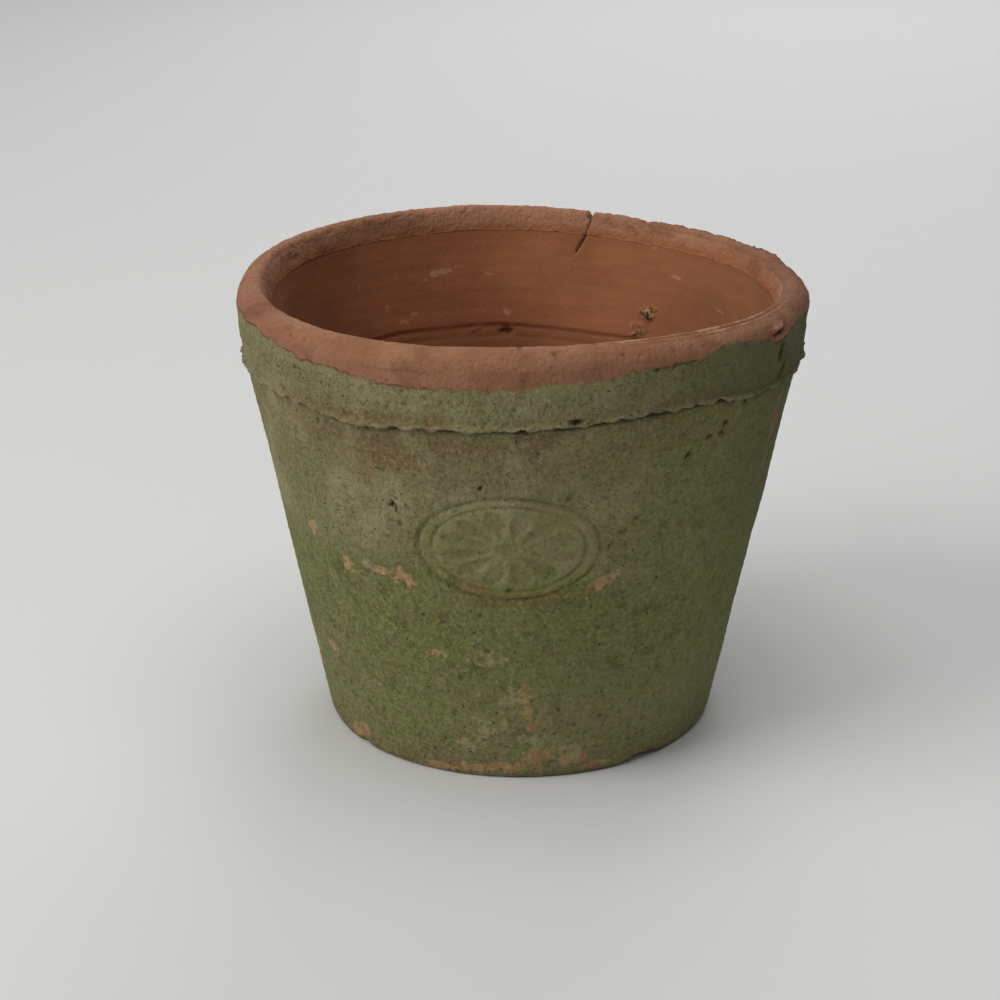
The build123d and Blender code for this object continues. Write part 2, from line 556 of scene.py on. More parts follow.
def make_wall():
    """The tapered wall, from the floor disc to its tongue under the collar."""
    grid = Turned(body_angles())
    shoulder_radius = body_radius(SEAM_HEIGHT)
    stamp_low, stamp_high = OVAL_Z - 18.0, OVAL_Z + 18.0
    grid.run("outside", (body_radius(FLOOR_TOP), FLOOR_TOP), (body_radius(stamp_low), stamp_low), 0.8)
    grid.run("outside", (body_radius(stamp_low), stamp_low), (body_radius(stamp_high), stamp_high), 0.4)
    grid.run("outside", (body_radius(stamp_high), stamp_high), (shoulder_radius, SEAM_HEIGHT), 0.7)
    grid.run("shoulder", (shoulder_radius, SEAM_HEIGHT), (TONGUE_RADIUS - 0.1, SEAM_HEIGHT), 1.2)
    grid.run("tongue", (TONGUE_RADIUS - 0.1, SEAM_HEIGHT), (TONGUE_RADIUS - 0.1, LIP_HEIGHT), 2.0)
    grid.run("top", (TONGUE_RADIUS - 0.1, LIP_HEIGHT), (INNER_TOP_RADIUS, LIP_HEIGHT), 1.2)
    cove_top = FLOOR_TOP + COVE
    grid.run("inside", (INNER_TOP_RADIUS, LIP_HEIGHT), (inner_radius(80.0), 80.0), 0.6)
    grid.run("inside", (inner_radius(80.0), 80.0), (INNER_FOOT_RADIUS, cove_top), 1.3)
    grid.run("cove", (INNER_FOOT_RADIUS, cove_top), (INNER_FOOT_RADIUS - COVE, FLOOR_TOP), 0.9)
    grid.run("joint", (INNER_FOOT_RADIUS - COVE, FLOOR_TOP), (body_radius(FLOOR_TOP), FLOOR_TOP), 2.0)
    grid.close()
    face_out(grid)

    follow_collar(grid)
    points = grid.points()
    outside = grid.on("outside")
    below = seam_height(grid.angle) - grid.height
    gap = 0.95 + 0.45 * layered_noise(points, 7.0, 63, 2) + 0.5 * swell(grid.angle, 48, 14, 4)
    crease = 1.0 * gap * np.exp(-np.abs(below) / 0.6)
    grid.push(outside * (body_relief(grid, points) - crease))
    # Painted shade: a near-black strip just under the collar's fin, where its shadow falls on the wall.
    grid.mask("crevice_shade", outside * np.exp(-(np.clip(below, 0.0, 9.0) / (0.95 * gap)) ** 4))
    press_oval(grid)
    body_pits(grid)
    mark_wall(grid)
    cut(grid, ((-44.5, 104.6), (-44.0, 101.4)), 0.7, 0.5, ("outside",), 0.1, 61)
    cut(grid, ((-27.9, 85.2), (-27.0, 84.0), (-26.8, 82.4)), 0.8, 0.5, ("outside",), 0.1, 62)
    mark_inside(grid, points)
    body_masks(grid)
    return grid.mesh("wall_clay")


def follow_collar(grid):
    """Bend the wall's shoulder and the top of its tongue to the wavy collar."""
    under = smooth(grid.height, SEAM_HEIGHT - 14.0, SEAM_HEIGHT) * grid.on("outside", "shoulder")
    foot_of_tongue = grid.on("tongue") * (grid.height < SEAM_HEIGHT + 0.5)
    lift = seam_height(grid.angle) + 0.7 - SEAM_HEIGHT
    grid.height = grid.height + lift * (under + foot_of_tongue)
    grid.radius = grid.radius + TAPER * lift * under * grid.on("outside")
    drop = (crest_height(grid.angle) - HEIGHT) * 0.8
    near_top = smooth(grid.height, LIP_HEIGHT - 14.0, LIP_HEIGHT) * grid.on("tongue", "top", "inside")
    grid.height = grid.height + drop * near_top


def face_out(grid):
    """Face the row where a side meets a hidden joint straight out of the side."""
    side = np.array([1.0, -TAPER]) / math.hypot(1.0, TAPER)
    for row in np.flatnonzero(grid.surface == "outside"):
        grid.facing[row] = side


SCORED_HEIGHT = 94.0

# Crumbs stuck inside: angle, height, width, height, how proud, how much of it is soil
CRUMBS = (
    (144.5, 101.8, 4.6, 3.4, 1.3, 1.0),
    (148.0, 97.2, 5.0, 1.8, 0.9, 0.35),
    (147.5, 95.2, 6.5, 1.4, 0.8, 0.7),
    (-168.0, 94.6, 5.0, 0.9, 0.5, 0.0),
)

# Pale scratches inside: angle, height, width, height of the scratch
INSIDE_SCRATCHES = (
    (-158.5, 112.6, 2.4, 0.9),
    (-156.5, 112.0, 3.4, 2.8),
    (-162.5, 114.0, 7.0, 0.6),
    (-171.0, 111.0, 3.6, 1.0),
    (-150.0, 101.0, 2.4, 2.4),
    (-154.0, 110.5, 2.6, 0.9),
    (-142.0, 104.0, 0.9, 4.0),
    (-134.0, 112.0, 0.9, 3.0),
    (-147.0, 99.0, 4.0, 2.4),
    (-159.5, 112.6, 6.0, 2.0),
    (145.0, 121.5, 2.4, 1.8),
    (137.0, 114.0, 4.5, 1.1),
    (-176.0, 99.0, 2.5, 2.5),
    (120.0, 108.0, 5.0, 0.8),
    (40.0, 90.0, 6.0, 1.0),
    (-30.0, 70.0, 1.2, 6.0),
)


def mark_inside(grid, points):
    """Turning marks, the scored double line, soil crumbs and the crack inside the wall, with painted
    shade below the line and on the side walls.
    """
    inside = grid.on("inside", "cove")
    wave = 1.3 * np.sin(np.radians(grid.angle * 2.0 + 30.0)) + 0.8 * gradient_noise(points, 26.0, 71)
    level = grid.height - wave
    rings = 0.02 * np.sin(level * 1.5) + 0.05 * layered_noise(points * (0.3, 0.3, 1.0), 5.0, 73, 3)
    ledge = 0.5 * smooth(SCORED_HEIGHT - level, -0.4, 0.4) * smooth(level, 60.0, SCORED_HEIGHT)
    lines = 0.45 * groove(level - SCORED_HEIGHT, 0.9) + 0.35 * groove(level - SCORED_HEIGHT + 3.4, 0.8)
    broken = 0.6 + 0.5 * gradient_noise(points, 18.0, 74)
    grid.push(inside * (rings - ledge - lines * np.clip(broken, 0.2, 1.0)))
    grid.mask("inside", grid.on("inside", "cove", "top", "tongue", "shoulder", "joint"))
    # Painted shade: the scored lines are darkened.
    grid.mask("line", inside * lines * 2.6 * np.clip(broken, 0.3, 1.0))
    add_crumbs(grid, points, inside)
    notch = grid.spot(-175.8, 93.2, 4.0, 2.0, 0, 0.5, 85, 3) * inside
    grid.push(-1.1 * notch)
    # Painted shade: the notch inside is darkened near-black.
    grid.mask("crack", notch)
    cut(grid, ((163.9, 126.0), (163.8, 122.6), (166.2, 117.5)), 0.7, 0.7, ("inside",), 0.3, 86)
    # Painted shade: the inside is darkened below the scored line and on its side walls, most on the
    # left.
    below_line_shade = smooth(grid.height, SCORED_HEIGHT + 2.0, SCORED_HEIGHT - 4.0)
    sides = 0.9 * swell(grid.angle, -108, 32) + 0.75 * swell(grid.angle, 112, 34)
    grid.mask("stain_and_shade", inside * np.maximum(0.6 * below_line_shade, sides))
    for angle, height, width, tall in INSIDE_SCRATCHES:
        grid.mask("pale", inside * grid.spot(angle, height, width * 1.2, tall * 1.2, 6))


def add_crumbs(grid, points, inside):
    """Rough crumbs of soil and clay stuck to the inside."""
    for seed, (angle, height, width, tall, rise, soil) in enumerate(CRUMBS, 81):
        lump = smooth(grid.spot(angle, height, width, tall, -20, 0.9, seed, 3), 0.2, 0.8)
        rough = 0.7 + 0.8 * layered_noise(points, 1.5, seed, 2, 0.7)
        grid.push(inside * rise * lump * rough)
        grid.mask("soil", inside * lump * soil)
        grid.mask("pale", inside * lump * (1.0 - soil) * 0.6)


def make_floor_disc():
    """The floor, with its rounded foot edge, drain hole and the edge that shows outside."""
    grid = Turned(body_angles())
    round_top = FOOT_ROUND * 1.05
    grid.run("under", (DRAIN_RADIUS + 1.0, 0.0), (BASE_RADIUS - FOOT_ROUND, 0.0), 1.3)
    grid.arc("foot", (BASE_RADIUS - FOOT_ROUND, FOOT_ROUND), (FOOT_ROUND, FOOT_ROUND), -90, 8, 0.35)
    grid.run("outside", (body_radius(round_top), round_top), (body_radius(FLOOR_TOP), FLOOR_TOP), 0.6)
    grid.rows.append(np.array([body_radius(FLOOR_TOP), FLOOR_TOP]))
    grid.surface.append("outside")
    grid.run("floor", (body_radius(FLOOR_TOP) - 0.6, FLOOR_TOP), (DRAIN_RADIUS + 1.0, FLOOR_TOP), 1.1)
    grid.arc("drain", (DRAIN_RADIUS + 1.0, FLOOR_TOP - 1.0), (1.0, 1.0), 90, 180, 0.3)
    grid.run("drain", (DRAIN_RADIUS, FLOOR_TOP - 1.0), (DRAIN_RADIUS, 1.0), 0.8)
    grid.arc("drain", (DRAIN_RADIUS + 1.0, 1.0), (1.0, 1.0), 180, 270, 0.3)
    grid.close()
    face_out(grid)
    points = grid.points()
    relief = body_relief(grid, points)
    foot = grid.on("foot") * smooth(grid.height, 0.0, FOOT_ROUND)
    grid.push((grid.on("outside") + foot) * relief)
    grid.push(-grid.on("under") * 0.25 * np.abs(layered_noise(points, 12.0, 51, 3)))
    covered = smooth(grid.radius, INNER_FOOT_RADIUS, INNER_FOOT_RADIUS - 6.0)
    grid.push(-grid.on("floor") * covered * 0.3 * np.abs(layered_noise(points, 16.0, 52, 3)))
    grid.push(grid.on("drain") * 0.18 * layered_noise(points, 4.0, 53, 2))
    body_pits(grid)
    notch = grid.spot(38.5, 1.2, 8.5, 4.6, 6, 0.7, 54, 4) * grid.on("outside", "foot")
    grid.push(-1.3 * notch)
    grid.mask("bare", 0.4 * notch)
    nick = grid.spot(-52.0, 0.6, 5.0, 2.4, 0, 0.7, 55, 4) * grid.on("outside", "foot")
    grid.push(-0.7 * nick)
    grid.mask("inside", grid.on("floor", "drain"))
    mark_wall(grid)
    grid.height = np.maximum(grid.height, 0.0)
    body_masks(grid)
    grid.mask("brown", grid.on("under") * (0.5 + 0.5 * layered_noise(points, 15.0, 56, 3)))
    return grid.mesh("floor_clay")


def rim_height(grid, part):
    """Height at a part of the way up the collar: 0 is the seam and 1 the crest."""
    low, high = seam_height(grid.angle), crest_height(grid.angle)
    return low + (high - low) * part


def make_rim_collar():
    """The rolled rim: band, crown and lip, with its ragged seam, chips and cracks."""
    grid = Turned(even_angles(1000))
    crown = RIM_RADIUS - CREST_RADIUS
    crown_foot = HEIGHT - crown
    band_radius = SEAM_RADIUS + 0.7
    grid.run("outside", (band_radius, SEAM_HEIGHT), (RIM_RADIUS, crown_foot), 0.42)
    grid.arc("crown", (CREST_RADIUS, crown_foot), (crown, crown), 0, 90, 0.42)
    grid.arc("crown", (CREST_RADIUS, HEIGHT - 2.6), (2.4, 2.6), 90, 165, 0.42)
    lip_top = (CREST_RADIUS - 2.4 * math.cos(math.radians(15)), HEIGHT - 1.9)
    grid.run("lip", lip_top, (LIP_RADIUS, LIP_HEIGHT), 0.5)
    grid.run("ledge", (LIP_RADIUS, LIP_HEIGHT), (TONGUE_RADIUS, LIP_HEIGHT), 1.0)
    grid.run("socket", (TONGUE_RADIUS, LIP_HEIGHT), (TONGUE_RADIUS, SEAM_HEIGHT), 2.0)
    grid.run("seam", (TONGUE_RADIUS, SEAM_HEIGHT), (band_radius, SEAM_HEIGHT), 0.8)
    grid.close()

    part = (grid.height - SEAM_HEIGHT) / (HEIGHT - SEAM_HEIGHT)
    lip_part = (LIP_HEIGHT - SEAM_HEIGHT) / (HEIGHT - SEAM_HEIGHT)
    drop = (crest_height(grid.angle) - HEIGHT) * 0.8
    grid.height = np.where(grid.on("ledge") > 0, LIP_HEIGHT + drop, rim_height(grid, part))
    inner = grid.on("lip")
    top = crest_height(grid.angle)
    way_down = np.clip((1.0 - part) / (1.0 - lip_part), 0.0, 1.0)
    lip_line = top + (LIP_HEIGHT + drop - top) * way_down
    grid.height = np.where(inner > 0, lip_line, grid.height)

    points = grid.points()
    above = grid.height - seam_height(grid.angle)
    shape_band(grid, points, above)
    shape_crown(grid, points)
    shape_lip(grid, points)
    scatter_pits(grid, ("outside", "crown"), 260, 8, 108.0, 130.0, (0.12, 0.35), (0.8, 1.8))
    notch_rim(grid)
    fold_rim(grid)
    chip_rim(grid)
    cover_rim(grid, points, above)
    limit_radius(grid)
    return grid.mesh("rim_collar_clay")


def shape_band(grid, points, above):
    """Unevenness of the outer band, and the ragged fin pressed out along its lower edge, with a painted
    highlight on the fin.
    """
    band = grid.on("outside")
    ragged = layered_noise(points, 4.0, 121, 3, 0.55)
    fin = np.exp(-((above - 0.45) / 0.5) ** 2) * np.clip(0.8 + 0.6 * ragged, 0.1, 1.3)
    groove_over_fin = 0.18 * np.exp(-((above - 2.0) / 0.9) ** 2)
    sides = 1.0 - swell(grid.angle, 0, 62, 6)
    rough = (0.16 + 0.26 * sides) * layered_noise(points, 5.0, 125, 3, 0.5) * smooth(above, 15.0, 6.0)
    uneven = 0.22 * layered_noise(points, 24.0, 128, 2)
    grid.push(band * (fin + rough + uneven - groove_over_fin - 0.25))
    edge = grid.on("outside", "seam") * np.exp(-np.abs(above) / 0.8)
    grid.height = grid.height + edge * (0.65 * layered_noise(points, 4.0, 131, 3, 0.6))
    # Painted highlight: the fin's ridge is made paler.
    grid.mask("fin", band * smooth(fin, 0.35, 1.0))
    # Painted shade: the collar's downward seam face under the fin is painted near-black.
    grid.mask("crevice_shade", grid.on("seam"))


def shape_crown(grid, points):
    """Wear of the crown: nicks, a broken edge at the back right and a ridge at the front, with a pale
    line on the front crest that is partly wear and partly painted highlight.
    """
    crown = grid.on("crown")
    back = swell(grid.angle, 180, 105, 4)
    broken = swell(grid.angle, 132, 30, 4) * smooth(grid.radius, CREST_RADIUS - 1.0, CREST_RADIUS + 1.5)
    fine = (0.05 + 0.13 * back + 0.50 * broken) * layered_noise(points, 3.0, 141, 3, 0.65)
    worn = fine + 0.18 * layered_noise(points, 20.0, 145, 2)
    nicks = smooth(layered_noise(points, 2.2, 148, 2, 0.6), 0.42, 0.9) * (0.12 + 0.88 * back)
    ridge_zone = swell(grid.angle, 42, 26, 4)
    inner_ridge = groove(grid.radius - (CREST_RADIUS - 0.8), 1.0)
    between = groove(grid.radius - (CREST_RADIUS + 0.3), 1.1)
    outer_ridge = groove(grid.radius - (CREST_RADIUS + 1.5), 1.0)
    ridge = 0.45 * inner_ridge - 0.7 * between + 0.35 * outer_ridge
    grid.push(crown * (worn - 0.4 * nicks - 0.2 - 0.25 * broken + ridge_zone * ridge))
    grid.mask("stain_and_shade", crown * broken * smooth(layered_noise(points, 3.0, 143, 3), -0.2, 0.5))
    # Partly wear, partly painted highlight: a pale line along the crest at the front.
    crest_wear_and_highlight = (groove(grid.radius - (CREST_RADIUS - 0.7), 1.2) + outer_ridge * ridge_zone) * crown
    front = swell(grid.angle, 18, 62, 6)
    grid.mask("pale", front * crest_wear_and_highlight * (0.75 + 0.8 * layered_noise(points, 7.0, 144, 3)))
    grid.mask("handled", grid.on("crown", "outside"))


def shape_lip(grid, points):
    """The inner lip, whose lower edge is a little ragged."""
    lip = grid.on("lip")
    grid.push(lip * (0.14 * layered_noise(points, 6.0, 151, 3) - 0.08))
    lip_edge = LIP_HEIGHT + (crest_height(grid.angle) - HEIGHT) * 0.8
    edge = grid.on("lip", "ledge") * np.exp(-np.abs(grid.height - lip_edge) / 1.2)
    grid.height = grid.height + edge * 0.35 * layered_noise(points, 5.0, 155, 3)
    grid.radius = grid.radius + 0.35 * edge * (grid.radius < LIP_RADIUS + 1.5)
    grid.mask("inside", lip * smooth(grid.height - lip_edge, 3.6, 0.4))


# Where the rim is notched and cracked, at the back right
NOTCH_ANGLE = 163.3


def notch_rim(grid):
    """The notch at the back right, the crack under it, and a small dip beside it."""
    wedge = groove(np.radians(turn(grid.angle, NOTCH_ANGLE)) * grid.radius, 1.2)
    grid.height = grid.height - 1.9 * wedge * grid.on("crown")
    # Painted shade: the notch in the crown is darkened.
    grid.mask("crack", wedge * grid.on("crown") * 0.8)
    path = ((NOTCH_ANGLE, 131.0), (163.0, 127.0), (164.0, 122.0))
    cut(grid, path, 0.6, 0.6, ("lip", "crown"), 0.4, 161)
    small = groove(np.radians(turn(grid.angle, 149.3)) * grid.radius, 2.0)
    grid.height = grid.height - 0.8 * small * grid.on("crown")


def fold_rim(grid):
    """The folded clay at the front right, with a pit and a long slit under it; the fold has a painted
    highlight, and the pit and slit painted shade.
    """
    on = grid.on("outside", "crown")
    fold = grid.spot(57.0, 125.2, 6.5, 1.5, 4, 0.3, 162, 4) * on
    grid.push(0.7 * fold)
    # Painted highlight: the fold is made paler.
    grid.mask("pale", fold * 0.8)
    pit = grid.spot(57.6, 124.0, 6.5, 1.1, 4, 0.2, 163, 4) * on
    grid.push(-1.2 * pit)
    # Painted shade: the pit under the fold is darkened near-black.
    grid.mask("crack", pit)
    bulge = grid.spot(58.0, 122.0, 13.0, 6.0, 15) * on
    grid.push(0.5 * bulge)
    slit = grid.spot(59.4, 118.0, 2.6, 6.0, -8, 0.1, 165, 6)
    slit = slit + grid.spot(61.6, 113.2, 1.5, 7.5, -18, power=4)
    slit = np.clip(slit, 0.0, 1.0) * grid.on("outside")
    beside = grid.spot(56.8, 115.8, 5.0, 9.5) * grid.on("outside")
    grid.push(0.3 * beside - 1.3 * slit)
    # Painted shade: the slit is darkened near-black.
    grid.mask("crack", smooth(slit, 0.1, 0.7))
    grid.mask("dusty", 0.9 * beside)


def chip_rim(grid):
    """The hole over the seam at the front, and flakes lost from the lip."""
    hole = grid.spot(9.8, 110.9, 3.4, 1.5, 0, 0.4, 167, 4) * grid.on("outside")
    grid.push(0.5 * grid.spot(9.8, 112.0, 5.0, 2.6) * grid.on("outside") - 1.2 * hole)
    # Painted shade: the hole over the seam is darkened near-black.
    grid.mask("crack", hole)
    for seed, (angle, height) in enumerate(((152.0, 125.0), (158.0, 126.5), (-110.0, 127.0)), 171):
        flake = grid.spot(angle, height, 6.0, 2.4, 15, 0.7, seed, 4) * grid.on("lip", "crown")
        grid.push(-0.35 * flake)
        grid.mask("stain_and_shade", 0.6 * flake)


def cover_rim(grid, points, above):
    """Where algae, rust, soot and bare clay lie on the rim, and where painted shade darkens its right
    side, as masks for the material.
    """
    drift = layered_noise(points, 6.0, 181, 3, 0.6)
    softness = 0.7 + 2.2 * swell(grid.angle, 5, 14)
    depth_below = moss_line(grid.angle) + 0.9 * drift - grid.height
    moss = smooth(depth_below / softness, -1.0, 1.0) * grid.on("outside", "crown", "seam")
    grid.mask("moss", moss)
    rust = smooth(layered_noise(points, 9.0, 185, 2), 0.15, 0.9) * smooth(above, 7.0, 0.5)
    grid.mask("brown", moss * (0.25 + 0.6 * rust))
    grid.mask("rust", moss * swell(grid.angle, -32, 26, 4) * smooth(above, 6.5, 2.0) * 0.8)
    fringe = np.exp(-((depth_below - 1.4) / 1.2) ** 2) * (0.35 + 0.65 * swell(grid.angle, -62, 40, 4))
    grid.mask("dusty", moss * fringe)
    # Painted shade: the algae on the rim's right side is darkened, and a little at the front right.
    grid.mask("dark", moss * swell(grid.angle, 76, 46, 4))
    grid.mask("dark", moss * 0.35 * swell(grid.angle, 32, 18, 4))
    sooty = smooth(layered_noise(points, 13.0, 188, 3), 0.1, 0.9)
    grey = 0.45 * swell(grid.angle, -118, 50) * grid.on("lip")
    clean = 1.0 - 0.7 * swell(grid.angle, 180, 45)
    grid.mask("stain_and_shade", sooty * grid.on("lip", "crown") * 0.7 * clean + grey)
    # Painted shade: the rim's right side is darkened.
    grid.mask("stain_and_shade", 0.85 * grid.on("crown", "outside") * swell(grid.angle, 86, 24))
    grid.mask("worn_pale", grid.on("lip", "crown") * swell(grid.angle, 178, 30, 4))
    calm = 0.3 * swell(grid.angle, 68, 34, 4)
    grid.mask("coarse", 0.35 + 0.65 * moss * (1.0 - calm))
    grid.mask("inside", grid.on("ledge", "socket"))


def limit_radius(grid):
    """Keep the worn collar within the turned size."""
    grid.radius = np.minimum(grid.radius, RIM_RADIUS)
    grid.height = np.minimum(grid.height, HEIGHT)


# ---------------- materials


class Material:
    """A node material, with short calls for the nodes that the clays share."""

    def __init__(self, name):
        self.material = bpy.data.materials.new(name)
        self.material.use_nodes = True
        self.tree = self.material.node_tree
        self.shader = self.tree.nodes["Principled BSDF"]
        self.place = self.tree.nodes.new("ShaderNodeTexCoord").outputs["Object"]

    def node(self, kind, inputs=None, **settings):
        """Add a node; inputs are sockets to link or values to set."""
        node = self.tree.nodes.new(kind)
        for name, value in settings.items():
            setattr(node, name, value)
        for name, value in (inputs or {}).items():
            if isinstance(value, bpy.types.NodeSocket):
                self.tree.links.new(value, node.inputs[name])
            else:
                node.inputs[name].default_value = value
        return node

    def mask(self, name):
        """A vertex mask of the mesh."""
        return self.node("ShaderNodeAttribute", attribute_name=name).outputs["Fac"]

    def noise(self, size, detail=3.0, shift=0.0, stretch=(1, 1, 1), roughness=0.55):
        """Noise whose lumps are about `size` millimetres across."""
        moved = self.node(
            "ShaderNodeMapping",
            {"Vector": self.place, "Location": (shift, shift * 1.7, shift * 0.6), "Scale": stretch},
        )
        noise = self.node(
            "ShaderNodeTexNoise",
            {
                "Vector": moved.outputs[0],
                "Scale": 1.0 / (size * MM),
                "Detail": detail,
                "Roughness": roughness,
            },
        )
        return noise.outputs["Fac"]

    def step(self, value, low, high, to=1.0):
        """An eased step from 0 to `to` as the value goes from low to high."""
        inputs = {"Value": value, "From Min": low, "From Max": high, "To Max": to}
        return self.node("ShaderNodeMapRange", inputs, interpolation_type="SMOOTHSTEP").outputs[0]

    def math(self, operation, a, b):
        """One sum on two values or sockets."""
        node = self.node("ShaderNodeMath", operation=operation)
        for socket, value in zip(node.inputs, (a, b)):
            if isinstance(value, bpy.types.NodeSocket):
                self.tree.links.new(value, socket)
            else:
                socket.default_value = value
        return node.outputs[0]

    def mix(self, amount, under, over):
        """Lay one colour over another by an amount."""
        node = self.node("ShaderNodeMix", data_type="RGBA")
        for index, value in ((0, amount), (6, under), (7, over)):
            socket = node.inputs[index]
            if isinstance(value, bpy.types.NodeSocket):
                self.tree.links.new(value, socket)
            else:
                socket.default_value = value if index == 0 else (*value, 1.0)
        return node.outputs[2]

    def finish(self, colour, roughness, heights):
        """Link the colour, roughness and bump; heights are (value, millimetres) pairs."""
        self.tree.links.new(colour, self.shader.inputs["Base Color"])
        self.tree.links.new(roughness, self.shader.inputs["Roughness"])
        self.shader.inputs["Specular IOR Level"].default_value = 0.25
        normal = None
        for value, tall in heights:
            inputs = {"Height": value, "Distance": tall * MM, "Strength": 1.0}
            if normal:
                inputs["Normal"] = normal
            normal = self.node("ShaderNodeBump", inputs).outputs[0]
        self.tree.links.new(normal, self.shader.inputs["Normal"])
        return self.material


TERRACOTTA = (0.335, 0.146, 0.075)
TERRACOTTA_PALE = (0.430, 0.215, 0.122)
TERRACOTTA_DARK = (0.215, 0.084, 0.042)
CLAY_DULL = (0.270, 0.165, 0.100)
INSIDE_CLAY = (0.395, 0.157, 0.069)
INSIDE_DARK = (0.295, 0.109, 0.047)
KHAKI = (0.262, 0.228, 0.104)
KHAKI_PALE = (0.365, 0.325, 0.170)
OLIVE = (0.222, 0.226, 0.084)
GREEN = (0.208, 0.230, 0.066)
GREEN_DARK = (0.088, 0.092, 0.032)
BROWN = (0.220, 0.145, 0.070)
TAN = (0.54, 0.37, 0.18)
ORANGE = (0.42, 0.225, 0.095)
LIME = (0.46, 0.385, 0.205)
RUST = (0.250, 0.118, 0.052)
# Pale scratches and crumbs, and the painted highlights on the fold and the front crest.
PALE_MARKS_AND_HIGHLIGHT = (0.560, 0.320, 0.190)
# Near-black painted shade for cracks, holes, notches and the gap under the fin.
RECESS_SHADE = (0.030, 0.016, 0.010)
SOIL = (0.060, 0.040, 0.022)
# Soot and dark flecks, and painted shade in pits, pressed and scored lines, the lower inside, the inner
# side walls and the rim's right side.
SOOT_AND_SHADE = (0.050, 0.030, 0.017)


def grains(m):
    """The surface's fine grains, which its colour and its relief both follow."""
    return m.noise(1.3, 4, 14.0, roughness=0.62)


def fired_clay(m):
    """Bare terracotta: mottled orange-brown with pale dust and darker flecks."""
    colour = m.mix(m.step(m.noise(16, 4, 1.0), 0.35, 0.65), TERRACOTTA, TERRACOTTA_PALE)
    colour = m.mix(m.step(m.noise(7, 4, 2.0), 0.50, 0.72, 0.6), colour, TERRACOTTA_DARK)
    streaks = m.noise(5, 4, 3.0, (0.35, 0.35, 1.0))
    colour = m.mix(m.step(streaks, 0.5, 0.72, 0.35), colour, TERRACOTTA_PALE)
    grain = grains(m)
    colour = m.mix(m.step(grain, 0.54, 0.70, 0.40), colour, TERRACOTTA_PALE)
    return m.mix(m.step(grain, 0.46, 0.32, 0.45), colour, TERRACOTTA_DARK)


def inner_clay(m):
    """The inside: smoother, warmer clay with faint turned streaks."""
    colour = m.mix(m.step(m.noise(30, 4, 5.0), 0.40, 0.66, 0.7), INSIDE_CLAY, INSIDE_DARK)
    streaks = m.noise(7, 5, 6.0, (0.25, 0.25, 1.6))
    colour = m.mix(m.step(streaks, 0.48, 0.72, 0.45), colour, INSIDE_DARK)
    colour = m.mix(m.step(m.noise(9, 5, 7.0, roughness=0.65), 0.58, 0.76, 0.30), colour, TERRACOTTA_PALE)
    return m.mix(m.step(m.noise(1.6, 3, 8.0), 0.64, 0.74, 0.45), colour, TERRACOTTA_PALE)


def algae(m):
    """The film outside: khaki above, green below, in mottled lumps and grains."""
    film = m.mix(m.step(m.noise(12, 5, 9.0), 0.36, 0.64), KHAKI, KHAKI_PALE)
    film = m.mix(m.step(m.noise(19, 4, 10.0), 0.42, 0.62, 0.7), film, OLIVE)
    deep = m.mix(m.step(m.noise(11, 5, 11.0), 0.40, 0.60), GREEN, OLIVE)
    deep = m.mix(m.step(m.noise(4.5, 5, 12.0), 0.48, 0.66, 0.45), deep, GREEN_DARK)
    film = m.mix(ragged(m, "green", 6.0, 26.0, 0.5, 0.42, 0.9), film, deep)
    brown = m.math("MULTIPLY", m.mask("brown"), m.step(m.noise(8, 5, 13.0), 0.32, 0.60))
    film = m.mix(brown, film, BROWN)
    film = m.mix(m.math("MULTIPLY", m.mask("dusty"), 0.38), film, KHAKI_PALE)
    film = m.mix(m.math("MULTIPLY", ragged(m, "rust", 4.0, 29.0, 0.55, 0.35, 1.2), 0.4), film, RUST)
    film = m.mix(m.step(m.noise(1.9, 3, 27.0), 0.56, 0.68, 0.35), film, RUST)
    grain = grains(m)
    coarse = m.mask("coarse")
    pale = m.step(grain, 0.51, 0.66, 0.66)
    dark = m.step(grain, 0.46, 0.31, 0.55)
    film = m.mix(m.math("MULTIPLY", pale, coarse), film, KHAKI_PALE)
    film = m.mix(m.math("MULTIPLY", dark, coarse), film, GREEN_DARK)
    # Painted shade: the dark mask darkens the film on the right side.
    return m.mix(m.math("MULTIPLY", m.mask("dark"), 0.70), film, GREEN_DARK)


def ragged(m, mask, size, shift, edge=0.5, soft=0.12, rough=1.1):
    """A mask whose outline is broken up by noise about `size` millimetres across."""
    wobble = m.math("MULTIPLY", m.math("SUBTRACT", m.noise(size, 5, shift, roughness=0.65), 0.5), rough)
    return m.step(m.math("ADD", m.mask(mask), wobble), edge - soft, edge + soft)


